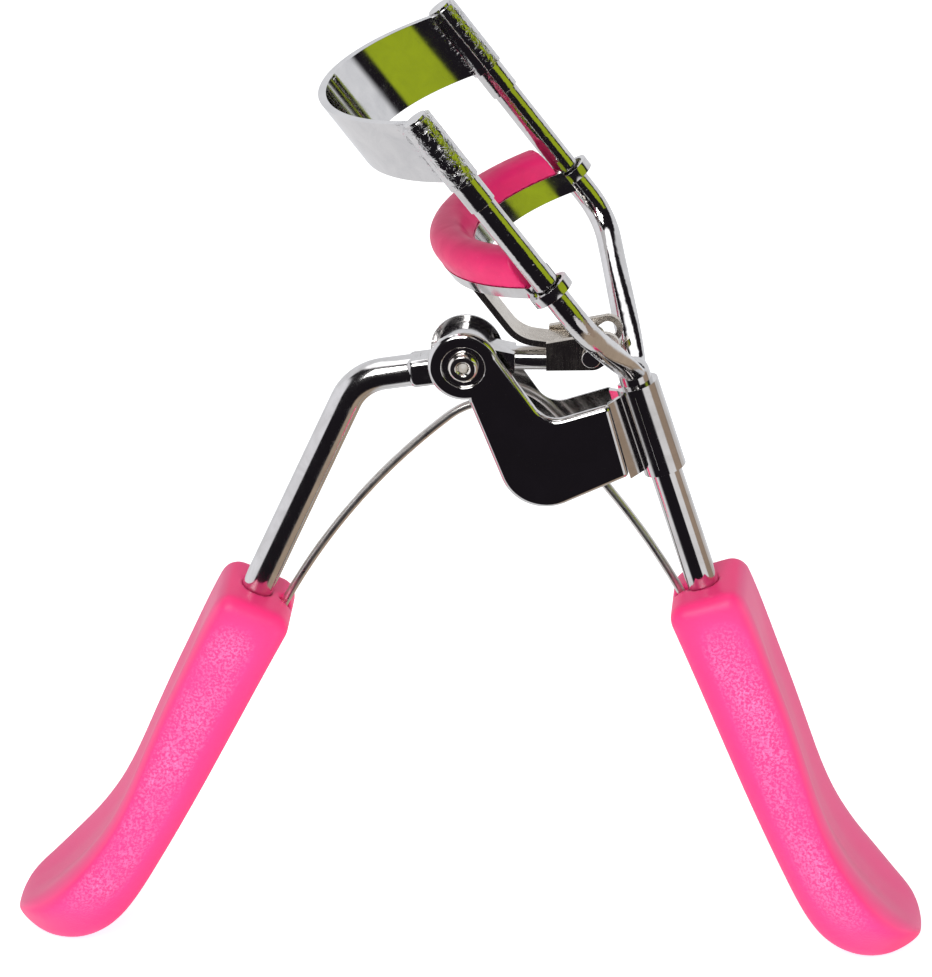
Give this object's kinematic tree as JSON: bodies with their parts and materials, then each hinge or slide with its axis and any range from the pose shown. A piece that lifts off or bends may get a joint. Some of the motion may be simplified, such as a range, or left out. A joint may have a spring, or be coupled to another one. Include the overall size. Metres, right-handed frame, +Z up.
{
  "type": "eyelash curler",
  "caption": "Scissor-handled eyelash curler: a curved upper jaw, a cushioned jaw that slides on two rods, a bow spring and flared soft grips.",
  "frame": {"origin": "on the resting plane, midway between the outermost points of the two grip tips, on the plane of symmetry", "axes": "+Z up from the grip tips to the jaws, +X towards the fixed handle, Y across the jaws; the two halves mirror each other about y = 0"},
  "size_m": [0.1005, 0.0386, 0.1041],
  "materials": {
    "polished_frame": "polished nickel-chrome plate",
    "jaw_plate": "polished nickel-chrome plate",
    "bracket": "polished nickel-chrome plate",
    "polished_lever": "polished nickel-chrome plate",
    "pad_channel": "polished nickel-chrome plate",
    "brushed_link": "plated over brushed steel",
    "rivets": "polished",
    "spring_wire": "drawn spring wire",
    "grips": "fine-grained pink moulding",
    "cushion": "smooth soft silicone"
  },
  "bodies": {
    "frame": {"fork_stem": "polished_frame", "upper_jaw": "jaw_plate", "pivot_bracket": "bracket", "pivot_rivet": "rivets", "fixed_grip": "grips", "bow_spring": "spring_wire"},
    "lever": {"lever": "polished_lever", "lever_grip": "grips", "link_pin": "rivets"},
    "carriage": {"pad_holder": "pad_channel", "silicone_pad": "cushion", "push_link": "brushed_link", "link_rivet": "rivets"}
  },
  "joints": [
    {"name": "lever_pivot", "type": "hinge", "parent": "frame", "child": "lever", "pos_m": [0.00015, 0, 0.0694], "axis": [0, -1, 0], "range_deg": [0, 43.5], "stiffness_Nm_per_rad": 0.12, "springref_deg": -20.05, "deforming": ["bow_spring"]},
    {"name": "jaw_slide", "type": "slide", "parent": "frame", "child": "carriage", "axis": [-0.5976, 0, 0.8018], "range_m": [0, 0.0102]}
  ],
  "couplings": [
    {"joint": "jaw_slide", "follows": "lever_pivot", "m_per_rad": 0.01323}
  ]
}
